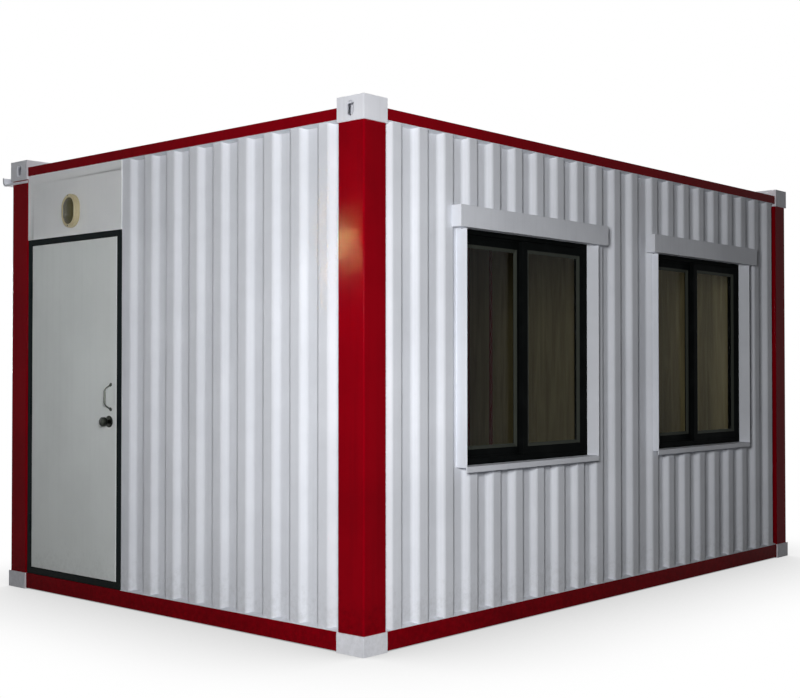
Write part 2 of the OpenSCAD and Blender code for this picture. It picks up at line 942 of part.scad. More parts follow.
// Open trough along the rear eaves, its back against the rear posts
module rear_gutter() {
    length = cabin_l - 2 * frame_inset;
    color(casting_grey)
        translate([-length / 2, gutter_back, gutter_z])
            rotate([90, 0, 90])
                difference() {
                    linear_extrude(length)
                        gutter_section();
                    translate([0, 0, -cut_over])
                        linear_extrude(length + 2 * cut_over)
                            trough_outline(gutter_t);
                }
}

// Straps across the rear posts, each with a curl that holds the end of the gutter
module gutter_straps() {
    color(casting_grey)
        for (side = [0, 1]) {
            mirror([side, 0, 0])
                translate([frame_inset - gutter_t - x_end, gutter_back, gutter_z])
                    rotate([90, 0, 90])
                        linear_extrude(gutter_t) {
                            difference() {
                                gutter_section();
                                trough_outline(strap_curl);
                            }
                            translate([-post_y, 0])
                                square([post_y + gutter_r, strap_h]);
                        }
        }
}

bottom_castings();
top_castings();
corner_posts();
bottom_rails();
top_rails();
floor_joists();
floor_deck();
front_wall_left();
front_wall_right();
rear_wall();
right_end_wall();
door_end_wall();
transom_panel();
roof_sheet();
ceiling_board();
front_lining();
rear_lining();
right_end_lining();
door_end_lining();
window_surround(0);  // window_1_surround
window_hood(0);  // window_1_hood
window_frame(0);  // window_1_frame
window_sashes(0);  // window_1_sashes
window_glass(0);  // window_1_glass
window_surround(1);  // window_2_surround
window_hood(1);  // window_2_hood
window_frame(1);  // window_2_frame
window_sashes(1);  // window_2_sashes
window_glass(1);  // window_2_glass
door_frame();
door_leaf();
frame_hinges();
leaf_hinges();
lock_roses();
door_knob();
pull_handle();
lamp_body();
lamp_glass();
rear_gutter();
gutter_straps();
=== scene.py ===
import math

import bmesh
import bpy
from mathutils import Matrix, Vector


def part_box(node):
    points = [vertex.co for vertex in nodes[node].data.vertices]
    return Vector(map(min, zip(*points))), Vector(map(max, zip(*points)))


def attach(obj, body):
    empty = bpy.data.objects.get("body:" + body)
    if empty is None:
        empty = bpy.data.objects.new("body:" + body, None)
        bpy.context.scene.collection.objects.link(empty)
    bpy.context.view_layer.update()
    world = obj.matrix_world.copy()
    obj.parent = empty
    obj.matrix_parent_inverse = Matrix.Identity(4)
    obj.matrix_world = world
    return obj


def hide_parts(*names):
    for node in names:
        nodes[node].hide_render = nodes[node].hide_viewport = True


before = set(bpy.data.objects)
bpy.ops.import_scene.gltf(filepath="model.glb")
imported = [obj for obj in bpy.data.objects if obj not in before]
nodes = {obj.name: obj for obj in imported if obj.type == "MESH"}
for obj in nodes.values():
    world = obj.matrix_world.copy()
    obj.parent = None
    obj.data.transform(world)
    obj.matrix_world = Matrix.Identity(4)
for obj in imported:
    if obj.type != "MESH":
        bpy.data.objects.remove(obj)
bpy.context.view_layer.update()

# Corner castings: hollow steel blocks cast in sand, four under the posts and four on top of them.
# Their slots take lifting hooks. The mould and a thick coat of pale enamel round all their edges.
CASTING_EDGE = 0.006
CASTING_SIDE = 0.09
MERGE_DISTANCE = 0.00002
FLAT_ANGLE = 0.3
SMOOTH_ANGLE = 40
CASTING_PAINT = {"paint": "#F2F3F9", "faded": "#E8EAF1", "grime": "#9C9D9D"}


def linear(code):
    """Linear colour of an sRGB hex code."""
    parts = [int(code[i:i + 2], 16) / 255 for i in (1, 3, 5)]
    return [p / 12.92 if p <= 0.04045 else ((p + 0.055) / 1.055) ** 2.4 for p in parts] + [1.0]


def add_node(tree, kind, inputs=None, **settings):
    """Outputs of a new node, with its settings, and with each input set to a value or linked."""
    node = tree.nodes.new(kind)
    for name, value in settings.items():
        setattr(node, name, value)
    for name, value in (inputs or {}).items():
        if isinstance(value, bpy.types.NodeSocket):
            tree.links.new(value, node.inputs[name])
        else:
            node.inputs[name].default_value = value
    return node.outputs


def new_material(name):
    """An empty material, its node tree and the place on the piece in metres."""
    material = bpy.data.materials.new(name)
    material.use_nodes = True
    material.node_tree.nodes.clear()
    place = add_node(material.node_tree, "ShaderNodeTexCoord")["Object"]
    return material, material.node_tree, place


def enamel(name, paint, faded, grime, roughness, specular, streaks, splash, ripple, strokes=0.0):
    """Enamel on steel: clouds of fading, run-off streaks, mud splashes low down and a wavy gloss.

    Strokes is the depth of a brush's marks in the coat, in metres, or 0 where it was sprayed."""
    cloud_size, wave_size = 0.45, 0.3
    streak_width, streak_length = 0.025, 1.0
    drop_size, splash_height = 0.03, 0.55
    peel_size, peel_depth = 0.006, 0.002
    stroke_width, stroke_length = 0.025, 0.3
    dirt_dulls, strokes_dull = 0.4, 0.16
    material, tree, place = new_material(name)
    clouds = add_node(tree, "ShaderNodeTexNoise", {
        "Vector": place, "Scale": 1 / cloud_size, "Detail": 5.0, "Roughness": 0.6})[0]
    fade = add_node(tree, "ShaderNodeMapRange", {
        "Value": clouds, "From Min": 0.38, "From Max": 0.66})[0]
    coat = add_node(tree, "ShaderNodeMix", {
        0: fade, 6: linear(paint), 7: linear(faded)}, data_type="RGBA")[2]

    # Streaks are about 25 mm wide and a metre long
    stretched = add_node(tree, "ShaderNodeMapping", {
        "Vector": place, "Scale": (1 / streak_width, 1 / streak_width, 1 / streak_length)})[0]
    runs = add_node(tree, "ShaderNodeTexNoise", {
        "Vector": stretched, "Scale": 1.0, "Detail": 3.0})[0]
    streak = add_node(tree, "ShaderNodeMapRange", {
        "Value": runs, "From Min": 0.5, "From Max": 0.85, "To Max": streaks})[0]

    # Splashes are drops of about 15 mm, from patches of 30 mm, that thin out with height
    height = add_node(tree, "ShaderNodeSeparateXYZ", {"Vector": place})["Z"]
    low = add_node(tree, "ShaderNodeMapRange", {
        "Value": height, "From Min": 0.0, "From Max": splash_height, "To Min": 0.3, "To Max": -0.12},
        interpolation_type="SMOOTHSTEP")[0]
    drops = add_node(tree, "ShaderNodeTexNoise", {
        "Vector": place, "Scale": 1 / drop_size, "Detail": 6.0, "Roughness": 0.7})[0]
    wet = add_node(tree, "ShaderNodeMath", {0: drops, 1: low}, operation="ADD")[0]
    mud = add_node(tree, "ShaderNodeMapRange", {
        "Value": wet, "From Min": 0.62, "From Max": 0.9, "To Max": splash})[0]
    dirt = add_node(tree, "ShaderNodeMath", {0: streak, 1: mud}, operation="MAXIMUM")[0]
    colour = add_node(tree, "ShaderNodeMix", {
        0: dirt, 6: coat, 7: linear(grime)}, data_type="RGBA")[2]

    gloss = add_node(tree, "ShaderNodeMapRange", {
        "Value": clouds, "From Min": 0.3, "From Max": 0.7,
        "To Min": roughness * 0.8, "To Max": roughness * 1.2})[0]
    dull = add_node(tree, "ShaderNodeMath", {
        0: dirt, 1: dirt_dulls, 2: gloss}, operation="MULTIPLY_ADD")[0]

    # Orange peel is 2 mm across on the real coat and drawn at 6 mm, so that it shows
    peel = add_node(tree, "ShaderNodeTexNoise", {"Vector": place, "Scale": 1 / peel_size})[0]
    skin = add_node(tree, "ShaderNodeBump", {
        "Height": peel, "Strength": 0.06, "Distance": peel_depth})[0]
    waves = add_node(tree, "ShaderNodeTexNoise", {
        "Vector": place, "Scale": 1 / wave_size, "Detail": 1.0})[0]
    surface = add_node(tree, "ShaderNodeBump", {
        "Height": waves, "Strength": 0.5, "Distance": ripple, "Normal": skin})[0]
    if strokes:
        # A brush's marks are 8 mm apart, drawn at 25 mm so that they show, and 0.3 m long
        swept = add_node(tree, "ShaderNodeMapping", {
            "Vector": place, "Scale": (1 / stroke_width, 1 / stroke_width, 1 / stroke_length)})[0]
        marks = add_node(tree, "ShaderNodeTexNoise", {
            "Vector": swept, "Scale": 1.0, "Detail": 2.0, "Distortion": 0.4})[0]
        surface = add_node(tree, "ShaderNodeBump", {
            "Height": marks, "Strength": 1.0, "Distance": strokes, "Normal": surface})[0]
        dull = add_node(tree, "ShaderNodeMath", {
            0: marks, 1: strokes_dull, 2: dull}, operation="MULTIPLY_ADD")[0]
    shader = add_node(tree, "ShaderNodeBsdfPrincipled", {
        "Base Color": colour, "Roughness": dull, "Normal": surface,
        "Specular IOR Level": specular})[0]
    add_node(tree, "ShaderNodeOutputMaterial", {"Surface": shader})
    return material


def eased_copy(node, name, width, bends=(30, 180), longer=0.02, segments=3):
    """A CAD node's shape with its flat faces whole and its long bends between two angles rounded."""
    piece = bpy.data.objects.new(name, nodes[node].data.copy())
    bpy.context.scene.collection.objects.link(piece)
    bpy.ops.object.select_all(action="DESELECT")
    piece.select_set(True)
    bpy.context.view_layer.objects.active = piece
    bpy.ops.object.mode_set(mode="EDIT")
    bpy.ops.mesh.select_all(action="SELECT")
    bpy.ops.mesh.remove_doubles(threshold=MERGE_DISTANCE)
    bpy.ops.mesh.dissolve_limited(angle_limit=math.radians(FLAT_ANGLE))
    if width:
        bpy.ops.mesh.select_mode(type="EDGE")
        bpy.ops.mesh.select_all(action="DESELECT")
        shape = bmesh.from_edit_mesh(piece.data)
        for edge in shape.edges:
            if len(edge.link_faces) == 2 and edge.calc_length() > longer:
                angle = math.degrees(edge.calc_face_angle())
                edge.select_set(bends[0] < angle < bends[1])
        bmesh.update_edit_mesh(piece.data)
        bpy.ops.mesh.bevel(offset=width, segments=segments, profile=0.5, clamp_overlap=True)
    bpy.ops.object.mode_set(mode="OBJECT")
    smooth(piece)
    return piece


def smooth(piece):
    """Round faces shade as round, and flat ones stay flat up to their rounded edges."""
    bpy.ops.object.select_all(action="DESELECT")
    piece.select_set(True)
    bpy.context.view_layer.objects.active = piece
    bpy.ops.object.shade_smooth_by_angle(angle=math.radians(SMOOTH_ANGLE))
    bpy.ops.object.modifier_add(type="WEIGHTED_NORMAL")
    piece.modifiers[-1].keep_sharp = True
    bpy.ops.object.modifier_apply(modifier=piece.modifiers[-1].name)


def fit(piece, material, body, slot, *replaced):
    """Paints a piece, lets it move with its body and hides the CAD nodes that it stands for."""
    piece.data.materials.clear()
    piece.data.materials.append(material)
    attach(piece, body)
    if replaced:
        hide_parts(*replaced)


# Sprayed enamel over sand-cast steel: thick, slightly lumpy, dull where rain and mud dry on it
casting_enamel = enamel("pale_enamel_on_cast_steel", roughness=0.5, specular=0.05, streaks=0.15,
                        splash=0.2, ripple=0.004, **CASTING_PAINT)
for level in ("top", "bottom"):
    # Edges that are shorter than a side, as round the slots, stay sharp
    node = level + "_castings"
    blocks = eased_copy(node, level + "_corner_blocks", CASTING_EDGE, longer=CASTING_SIDE)
    fit(blocks, casting_enamel, "cabin", "casting_paint", node)

# Frame: tube posts with round corners, welded between the castings, with channel rails between their feet
# and box rails between their heads. All of it is rolled steel under red gloss enamel, splashed low down.
RAIL_EDGE = 0.0022
FRAME_PAINT = {"paint": "#900010", "faded": "#84000E", "grime": "#42060C"}

# Brushed gloss enamel: deep red, with a highlight that the brush's marks break up,
# and dirt in streaks and low down
red_enamel = enamel("red_gloss_enamel_on_steel", roughness=0.01, specular=0.01, streaks=0.2,
                    splash=0.4, ripple=0.003, strokes=0.00012, **FRAME_PAINT)
for node, name in (("corner_posts", "red_posts"), ("bottom_rails", "red_bottom_rails"),
                   ("top_rails", "red_top_rails"), ("floor_joists", "red_joists")):
    # The posts' corners are round already
    bars = eased_copy(node, name, 0 if node == "corner_posts" else RAIL_EDGE)
    fit(bars, red_enamel, "cabin", "red_paint", node)

# Floor deck: birch plywood sheets screwed to the joists, with a worn clear varnish.
# Its grain runs along the cabin, and traffic has greyed it.
FLOOR_LIGHT = "#7D6C50"
FLOOR_DARK = "#5E503B"


def plywood(name, light, dark, along, roughness):
    """Varnished plywood: peeled-veneer grain that runs along one axis, in waves 40 mm wide."""
    wave_width, wave_length = 0.04, 0.7
    material, tree, place = new_material(name)
    scale = [1 / wave_width] * 3
    scale[along] = 1 / wave_length
    drawn = add_node(tree, "ShaderNodeMapping", {"Vector": place, "Scale": scale})[0]
    grain = add_node(tree, "ShaderNodeTexNoise", {
        "Vector": drawn, "Scale": 1.0, "Detail": 6.0, "Roughness": 0.65, "Distortion": 0.8})[0]
    tone = add_node(tree, "ShaderNodeMapRange", {
        "Value": grain, "From Min": 0.3, "From Max": 0.7})[0]
    colour = add_node(tree, "ShaderNodeMix", {
        0: tone, 6: linear(dark), 7: linear(light)}, data_type="RGBA")[2]
    surface = add_node(tree, "ShaderNodeBump", {
        "Height": grain, "Strength": 0.15, "Distance": 0.001})[0]
    shader = add_node(tree, "ShaderNodeBsdfPrincipled", {
        "Base Color": colour, "Roughness": roughness, "Normal": surface})[0]
    add_node(tree, "ShaderNodeOutputMaterial", {"Surface": shader})
    return material


def paint_node(node, material):
    """A CAD node that keeps its own shape gets its finish."""
    nodes[node].data.materials.clear()
    nodes[node].data.materials.append(material)


# Varnished birch: brown veneer figure with a low sheen
paint_node("floor_deck", plywood("varnished_birch_deck", FLOOR_LIGHT, FLOOR_DARK, 0, 0.5))

# Walls: cold-formed steel sheet with broad ribs, welded to the rails and posts all round.
# The rollers leave round bends. White satin enamel, with grime in streaks and splashes near the ground.
RIB_PITCH = 0.194
RIB_CREST = 0.070
RIB_FLANK = 0.026
SHEET_THICKNESS = 0.002
POST_FLAT = 0.019
DOOR_END_FLAT = 0.048
BEND_ROUND = 0.0095
BEND_STEPS = 6
BEND_ANGLE = 20
SILL_LIP = 0.024
WALL_PAINT = {"paint": "#E6E9F0", "faded": "#DDE0E7", "grime": "#9A9B9A"}


def rib_profile(length, flat, depth, whole):
    """Corners of a sheet from 0 to its length: crests on y = 0, troughs behind them."""
    corners = [(0.0, depth)]
    start = flat
    while start + (2 * RIB_FLANK + RIB_CREST if whole else 0.0) <= length:
        crest = start + RIB_FLANK
        corners += [(start, depth), (crest, 0.0), (crest + RIB_CREST, 0.0),
                    (crest + RIB_CREST + RIB_FLANK, depth)]
        start += RIB_PITCH
    kept = [c for c in corners if c[0] < length]
    if len(kept) < len(corners):
        (x0, y0), (x1, y1) = kept[-1], corners[len(kept)]
        return kept + [(length, y0 + (y1 - y0) * (length - x0) / (x1 - x0))]
    return kept + [(length, depth)]


def bent_sheet(name, profile, low, high, place, turn):
    """A flat strip drawn out bend by bend along a profile, with round bends and the sheet's thickness."""
    (x0, y0), (x1, _) = profile[:2]
    bpy.ops.object.select_all(action="DESELECT")
    bpy.ops.mesh.primitive_plane_add(size=1, location=((x0 + x1) / 2, y0, (low + high) / 2),
                                     rotation=(math.pi / 2, 0, 0))
    sheet = bpy.context.object
    sheet.name = name
    sheet.scale = (x1 - x0, high - low, 1)
    bpy.ops.object.transform_apply(location=True, rotation=True, scale=True)
    bpy.ops.object.mode_set(mode="EDIT")
    bpy.ops.mesh.select_mode(type="EDGE")
    bpy.ops.mesh.select_all(action="DESELECT")
    shape = bmesh.from_edit_mesh(sheet.data)
    for edge in shape.edges:
        edge.select_set(all(v.co.x > (x0 + x1) / 2 for v in edge.verts))
    bmesh.update_edit_mesh(sheet.data)
    for (xa, ya), (xb, yb) in zip(profile[1:], profile[2:]):
        bpy.ops.mesh.extrude_region_move(TRANSFORM_OT_translate={"value": (xb - xa, yb - ya, 0)})
    bpy.ops.mesh.select_all(action="DESELECT")
    shape = bmesh.from_edit_mesh(sheet.data)
    for edge in shape.edges:
        edge.select_set(len(edge.link_faces) == 2 and edge.calc_face_angle() > math.radians(BEND_ANGLE))
    bmesh.update_edit_mesh(sheet.data)
    bpy.ops.mesh.bevel(offset=BEND_ROUND, segments=BEND_STEPS, profile=0.5, clamp_overlap=True)
    bpy.ops.object.mode_set(mode="OBJECT")
    bpy.ops.object.modifier_add(type="SOLIDIFY")
    sheet.modifiers[-1].thickness = SHEET_THICKNESS
    bpy.ops.object.modifier_apply(modifier=sheet.modifiers[-1].name)
    sheet.location = (place[0], place[1], 0)
    sheet.rotation_euler = (0, 0, turn)
    bpy.ops.object.transform_apply(location=True, rotation=True, scale=True)
    return sheet


def cut_box(piece, low, high):
    """Cuts a box between two corners out of a piece."""
    bpy.ops.object.select_all(action="DESELECT")
    bpy.ops.mesh.primitive_cube_add(size=1, location=(Vector(low) + Vector(high)) / 2)
    cutter = bpy.context.object
    cutter.scale = Vector(high) - Vector(low)
    bpy.ops.object.transform_apply(location=True, rotation=True, scale=True)
    bpy.context.view_layer.objects.active = piece
    bpy.ops.object.modifier_add(type="BOOLEAN")
    piece.modifiers[-1].object = cutter
    bpy.ops.object.modifier_apply(modifier=piece.modifiers[-1].name)
    bpy.data.objects.remove(cutter)


def mirrored(profile):
    """The same profile drawn from its other end."""
    length = profile[-1][0]
    return [(length - x, y) for x, y in reversed(profile)]


# Satin enamel on thin sheet: soft sheen that wavers where the sheet has sprung between its welds
white_enamel = enamel("white_satin_enamel_on_sheet", roughness=0.45, specular=0.04, streaks=0.08,
                      splash=0.2, ripple=0.004, **WALL_PAINT)
wall_low, wall_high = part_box("front_wall_left")
seam_low, seam_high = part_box("front_wall_right")
rear_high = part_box("rear_wall")[1]
end_low, end_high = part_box("right_end_wall")
door_low, door_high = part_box("door_end_wall")
rib_depth = wall_high.y - wall_low.y - SHEET_THICKNESS
left_profile = rib_profile(wall_high.x - wall_low.x, POST_FLAT, rib_depth, True)
right_profile = mirrored(rib_profile(seam_high.x - seam_low.x, POST_FLAT, rib_depth, True))
half_profile = rib_profile((end_high.y - end_low.y) / 2, POST_FLAT, rib_depth, True)
door_profile = mirrored(rib_profile(door_high.y - door_low.y, DOOR_END_FLAT, rib_depth, False))
end_middle = (end_low.y + end_high.y) / 2
for node, name, profile, place, turn, window in (
        ("front_wall_left", "ribbed_front_left", left_profile, wall_low, 0, "1"),
        ("front_wall_right", "ribbed_front_right", right_profile, seam_low, 0, "2"),
        ("rear_wall", "ribbed_rear_right", mirrored(right_profile), rear_high, math.pi, ""),
        ("rear_wall", "ribbed_rear_left", mirrored(left_profile),
         (wall_high.x, rear_high.y), math.pi, ""),
        ("right_end_wall", "ribbed_end_front", half_profile, (end_high.x, end_low.y), math.pi / 2, ""),
        ("right_end_wall", "ribbed_end_rear", mirrored(half_profile),
         (end_high.x, end_middle), math.pi / 2, ""),
        ("door_end_wall", "ribbed_door_end", door_profile, (door_low.x, door_high.y), -math.pi / 2, "")):
    sheet = bent_sheet(name, profile, wall_low.z, wall_high.z, place, turn)
    if window:
        plate_low, plate_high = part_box("window_" + window + "_surround")
        cut_box(sheet, (plate_low.x, plate_low.y, plate_low.z + SILL_LIP), plate_high)
    smooth(sheet)
    fit(sheet, white_enamel, "cabin", "white_paint", node)

# Welds: one bead of filler up each corner where a sheet's flat edge meets the side of a post.
# The welder's hand leaves it uneven, and the walls' enamel covers it.
WELD_RADIUS = 0.0045
WELD_STEP = 0.012
WELD_UNEVEN = 0.0012
WELD_SIDES = 10
WELD_SEED = 4
weld_height = wall_high.z - wall_low.z
bpy.ops.object.select_all(action="DESELECT")
bpy.ops.mesh.primitive_cylinder_add(vertices=WELD_SIDES, radius=WELD_RADIUS, depth=weld_height,
                                    location=(0, 0, (wall_low.z + wall_high.z) / 2))
weld = bpy.context.object
weld.name = "weld_pattern"
bpy.ops.object.transform_apply(location=True, rotation=True, scale=True)
bpy.ops.object.mode_set(mode="EDIT")
bpy.ops.mesh.select_mode(type="EDGE")
bpy.ops.mesh.select_all(action="DESELECT")
shape = bmesh.from_edit_mesh(weld.data)
for edge in shape.edges:
    edge.select_set(edge.calc_length() > weld_height / 2)
bmesh.update_edit_mesh(weld.data)
bpy.ops.mesh.subdivide(number_cuts=int(weld_height / WELD_STEP))
bpy.ops.mesh.select_all(action="DESELECT")
shape = bmesh.from_edit_mesh(weld.data)
for vert in shape.verts:
    vert.select_set(wall_low.z + WELD_STEP / 2 < vert.co.z < wall_high.z - WELD_STEP / 2)
bmesh.update_edit_mesh(weld.data)
bpy.ops.transform.vertex_random(offset=WELD_UNEVEN, uniform=1.0, seed=WELD_SEED)
bpy.ops.object.mode_set(mode="OBJECT")
smooth(weld)


def copy_moved(piece, name, step, turn=0.0):
    """A copy of a piece with a mesh of its own, turned about the upright axis and moved by a step."""
    bpy.ops.object.select_all(action="DESELECT")
    piece.select_set(True)
    bpy.context.view_layer.objects.active = piece
    bpy.ops.object.duplicate(linked=False)
    twin = bpy.context.object
    twin.name = name
    twin.location = step
    twin.rotation_euler = (0, 0, turn)
    bpy.ops.object.transform_apply(location=True, rotation=True, scale=True)
    return twin


front_face = wall_low.y + rib_depth
rear_face = rear_high.y - rib_depth
right_face = end_high.x - rib_depth
door_face = door_low.x + rib_depth
for name, x, y in (
        ("weld_front_left", wall_low.x, front_face), ("weld_front_right", seam_high.x, front_face),
        ("weld_rear_left", wall_low.x, rear_face), ("weld_rear_right", seam_high.x, rear_face),
        ("weld_end_front", right_face, end_low.y), ("weld_end_rear", right_face, end_high.y),
        ("weld_door_end", door_face, door_low.y)):
    fit(copy_moved(weld, name, (x, y, 0)), white_enamel, "cabin", "white_paint")
bpy.data.objects.remove(weld)

# Mastic: a fillet of paintable sealant, trowelled along the foot and the head of each ribbed wall.
# It fills the ledges of the rails between the ribs, slopes out to the rails' edges and sheds the rain.
MASTIC_RISE = 0.012
MASTIC_LIP = 0.001
MASTIC_EDGE = 0.0004
for level, rails, seat, up in (("foot", "bottom_rails", wall_low.z, 1),
                               ("head", "top_rails", wall_high.z, -1)):
    rail_low, rail_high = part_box(rails)
    for wall, x0, x1, y0, y1, out in (
            ("front", wall_low.x, seam_high.x, rail_low.y + RAIL_EDGE, front_face, (0, -1)),
            ("rear", wall_low.x, seam_high.x, rear_face, rail_high.y - RAIL_EDGE, (0, 1)),
            ("right_end", right_face, rail_high.x - RAIL_EDGE, end_low.y, end_high.y, (1, 0)),
            ("door_end", rail_low.x + RAIL_EDGE, door_face, door_low.y, door_high.y, (-1, 0))):
        middle = Vector(((x0 + x1) / 2, (y0 + y1) / 2, seat + up * MASTIC_RISE / 2))
        bpy.ops.object.select_all(action="DESELECT")
        bpy.ops.mesh.primitive_cube_add(size=1, location=middle)
        fillet = bpy.context.object
        fillet.name = "mastic_%s_%s" % (level, wall)
        fillet.scale = (x1 - x0, y1 - y0, MASTIC_RISE)
        bpy.ops.object.transform_apply(location=True, rotation=True, scale=True)
        bpy.ops.object.mode_set(mode="EDIT")
        bpy.ops.mesh.select_mode(type="VERT")
        bpy.ops.mesh.select_all(action="DESELECT")
        shape = bmesh.from_edit_mesh(fillet.data)
        for vert in shape.verts:
            away = vert.co - middle
            vert.select_set(away.x * out[0] + away.y * out[1] > 0 and away.z * up > 0)
        bmesh.update_edit_mesh(fillet.data)
        bpy.ops.transform.translate(value=(0, 0, up * (MASTIC_LIP - MASTIC_RISE)))
        bpy.ops.mesh.select_all(action="SELECT")
        bpy.ops.mesh.bevel(offset=MASTIC_EDGE, segments=2, profile=0.5)
        bpy.ops.object.mode_set(mode="OBJECT")
        smooth(fillet)
        fit(fillet, white_enamel, "cabin", "white_paint")

# Transom: a tray pressed from flat sheet and welded in over the door, dished behind a sloping rim.
# It carries the lamp. The rail above shelters it, so its enamel is the cleanest on the cabin.
TRAY_BEND = 0.007
TRAY_PAINT = {"paint": "#F8FAFB", "faded": "#F1F4F5", "grime": "#9A9B9A"}

# Satin enamel kept out of the rain: even, pale and hardly streaked
tray_enamel = enamel("sheltered_satin_enamel_on_sheet", roughness=0.45, specular=0.04, streaks=0.03,
                     splash=0.0, ripple=0.003, **TRAY_PAINT)
tray = eased_copy("transom_panel", "transom_tray", TRAY_BEND, bends=(10, 60), longer=0.1)
fit(tray, tray_enamel, "cabin", "white_paint", "transom_panel")

# Roof: ribbed sheet laid across the cabin between the top rails, a little below their tops.
# Rain stands on it, so its white enamel is duller and dirtier than the walls'.
ROOF_PAINT = {"paint": "#DEDFE1", "faded": "#CFD0D0", "grime": "#77746C"}

# Weathered satin enamel: chalky patches and dark drying marks
roof_enamel = enamel("weathered_white_enamel", roughness=0.55, specular=0.03, streaks=0.35,
                     splash=0.0, ripple=0.006, **ROOF_PAINT)
roof = eased_copy("roof_sheet", "ribbed_roof", BEND_ROUND, bends=(20, 75), longer=0.2, segments=4)
fit(roof, roof_enamel, "cabin", "white_paint", "roof_sheet")

# Lining: plywood boards nailed upright inside the walls, and one skin under the roof.
# They are varnished brown, and show dimly through the windows.
LINING_LIGHT = "#BEB184"
LINING_DARK = "#948661"

# Varnished ply, standing: veneer figure runs up the boards
lining_ply = plywood("varnished_lining_boards", LINING_LIGHT, LINING_DARK, 2, 0.45)
for node in ("front_lining", "rear_lining", "right_end_lining", "door_end_lining", "ceiling_board"):
    paint_node(node, lining_ply)

# Cover strip: a red-painted batten nailed upright over a joint of the right end's lining.
# It shows through the first window as a dark red line.
STRIP_WIDTH = 0.03
STRIP_DEPTH = 0.014
STRIP_Y = 1.09
STRIP_EDGE = 0.003
board_low, board_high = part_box("right_end_lining")


def box_piece(name, low, high, edge):
    """A block between two corners with rounded edges, made from a cube."""
    bpy.ops.object.select_all(action="DESELECT")
    size = Vector(high) - Vector(low)
    bpy.ops.mesh.primitive_cube_add(size=1, location=(Vector(low) + Vector(high)) / 2)
    piece = bpy.context.object
    piece.name = name
    piece.scale = size
    bpy.ops.object.transform_apply(location=True, rotation=True, scale=True)
    bpy.ops.object.mode_set(mode="EDIT")
    bpy.ops.mesh.select_all(action="SELECT")
    bpy.ops.mesh.bevel(offset=edge, segments=3, profile=0.5)
    bpy.ops.object.mode_set(mode="OBJECT")
    smooth(piece)
    return piece


strip = box_piece("red_cover_strip",
                  (board_low.x - STRIP_DEPTH, STRIP_Y - STRIP_WIDTH / 2, board_low.z),
                  (board_low.x, STRIP_Y + STRIP_WIDTH / 2, board_high.z), STRIP_EDGE)
fit(strip, red_enamel, "cabin", "red_paint")

# Windows: a welded plate surround with a sill lip, and a folded drip hood above, in the walls' enamel.
# Inside sits a black aluminium frame with two sliding sashes, one behind the other.
PLATE_EDGE = 0.0016
SASH_EDGE = 0.0025
FRAME_BLACK = "#0D0F0F"
FRAME_WORN = "#161818"
DUST_PATCH = 0.12
PEBBLE = 0.004

# Powder-coated aluminium: near black, finely pebbled, greyer where hands and dust have dulled it
black_material, tree, place = new_material("black_powder_coat_on_aluminium")
dust = add_node(tree, "ShaderNodeTexNoise", {
    "Vector": place, "Scale": 1 / DUST_PATCH, "Detail": 6.0})[0]
dusty = add_node(tree, "ShaderNodeMapRange", {"Value": dust, "From Min": 0.45, "From Max": 0.75})[0]
colour = add_node(tree, "ShaderNodeMix", {
    0: dusty, 6: linear(FRAME_BLACK), 7: linear(FRAME_WORN)}, data_type="RGBA")[2]
# The coat's pebbles are 1 mm across and drawn at 4 mm, so that they show
pebbles = add_node(tree, "ShaderNodeTexNoise", {"Vector": place, "Scale": 1 / PEBBLE})[0]
surface = add_node(tree, "ShaderNodeBump", {"Height": pebbles, "Strength": 0.1, "Distance": 0.001})[0]
shader = add_node(tree, "ShaderNodeBsdfPrincipled", {
    "Base Color": colour, "Roughness": 0.45, "Normal": surface, "Specular IOR Level": 0.005})[0]
add_node(tree, "ShaderNodeOutputMaterial", {"Surface": shader})

# Tinted float glass: a weak grey tint, dark against a dim room, with a faint gloss under a film of dust
GLASS_TINT = "#DEDFDC"
GLASS_GLOSS = 0.008
FILM_PATCH = 0.25
glass_material, tree, place = new_material("tinted_float_glass")
film = add_node(tree, "ShaderNodeTexNoise", {
    "Vector": place, "Scale": 1 / FILM_PATCH, "Detail": 4.0})[0]
haze = add_node(tree, "ShaderNodeMapRange", {
    "Value": film, "From Min": 0.3, "From Max": 0.7, "To Min": 0.02, "To Max": 0.12})[0]
clear = add_node(tree, "ShaderNodeBsdfTransparent", {"Color": linear(GLASS_TINT)})[0]
gloss = add_node(tree, "ShaderNodeBsdfAnisotropic", {"Color": (1, 1, 1, 1), "Roughness": haze})[0]
shader = add_node(tree, "ShaderNodeMixShader", {0: GLASS_GLOSS, 1: clear, 2: gloss})[0]
add_node(tree, "ShaderNodeOutputMaterial", {"Surface": shader})

for number in ("1", "2"):
    window = "window_" + number + "_"
    for part, name, width, material, slot in (
            ("surround", "plate_surround_", PLATE_EDGE, white_enamel, "white_paint"),
            ("hood", "drip_hood_", PLATE_EDGE, white_enamel, "white_paint"),
            ("frame", "window_frame_", PLATE_EDGE, black_material, "black_aluminium"),
            ("sashes", "sliding_sashes_", SASH_EDGE, black_material, "black_aluminium")):
        piece = eased_copy(window + part, name + number, width)
        fit(piece, material, "cabin", slot, window + part)
    paint_node(window + "glass", glass_material)

# Glazing beads: sloping strips of grey plastic pressed in round each pane to hold it in its sash.
# Their long faces slope from the sash down to the glass, and catch the light beside each stile.
BEAD_WIDTH = 0.018
BEAD_LIP = 0.002
BEAD_EDGE = 0.0006
PANE_WIDTH = 0.4975
TRACK_STEP = 0.040
BEAD_GREY = "#3F423C"
BEAD_WORN = "#353833"
CHALK_PATCH = 0.08

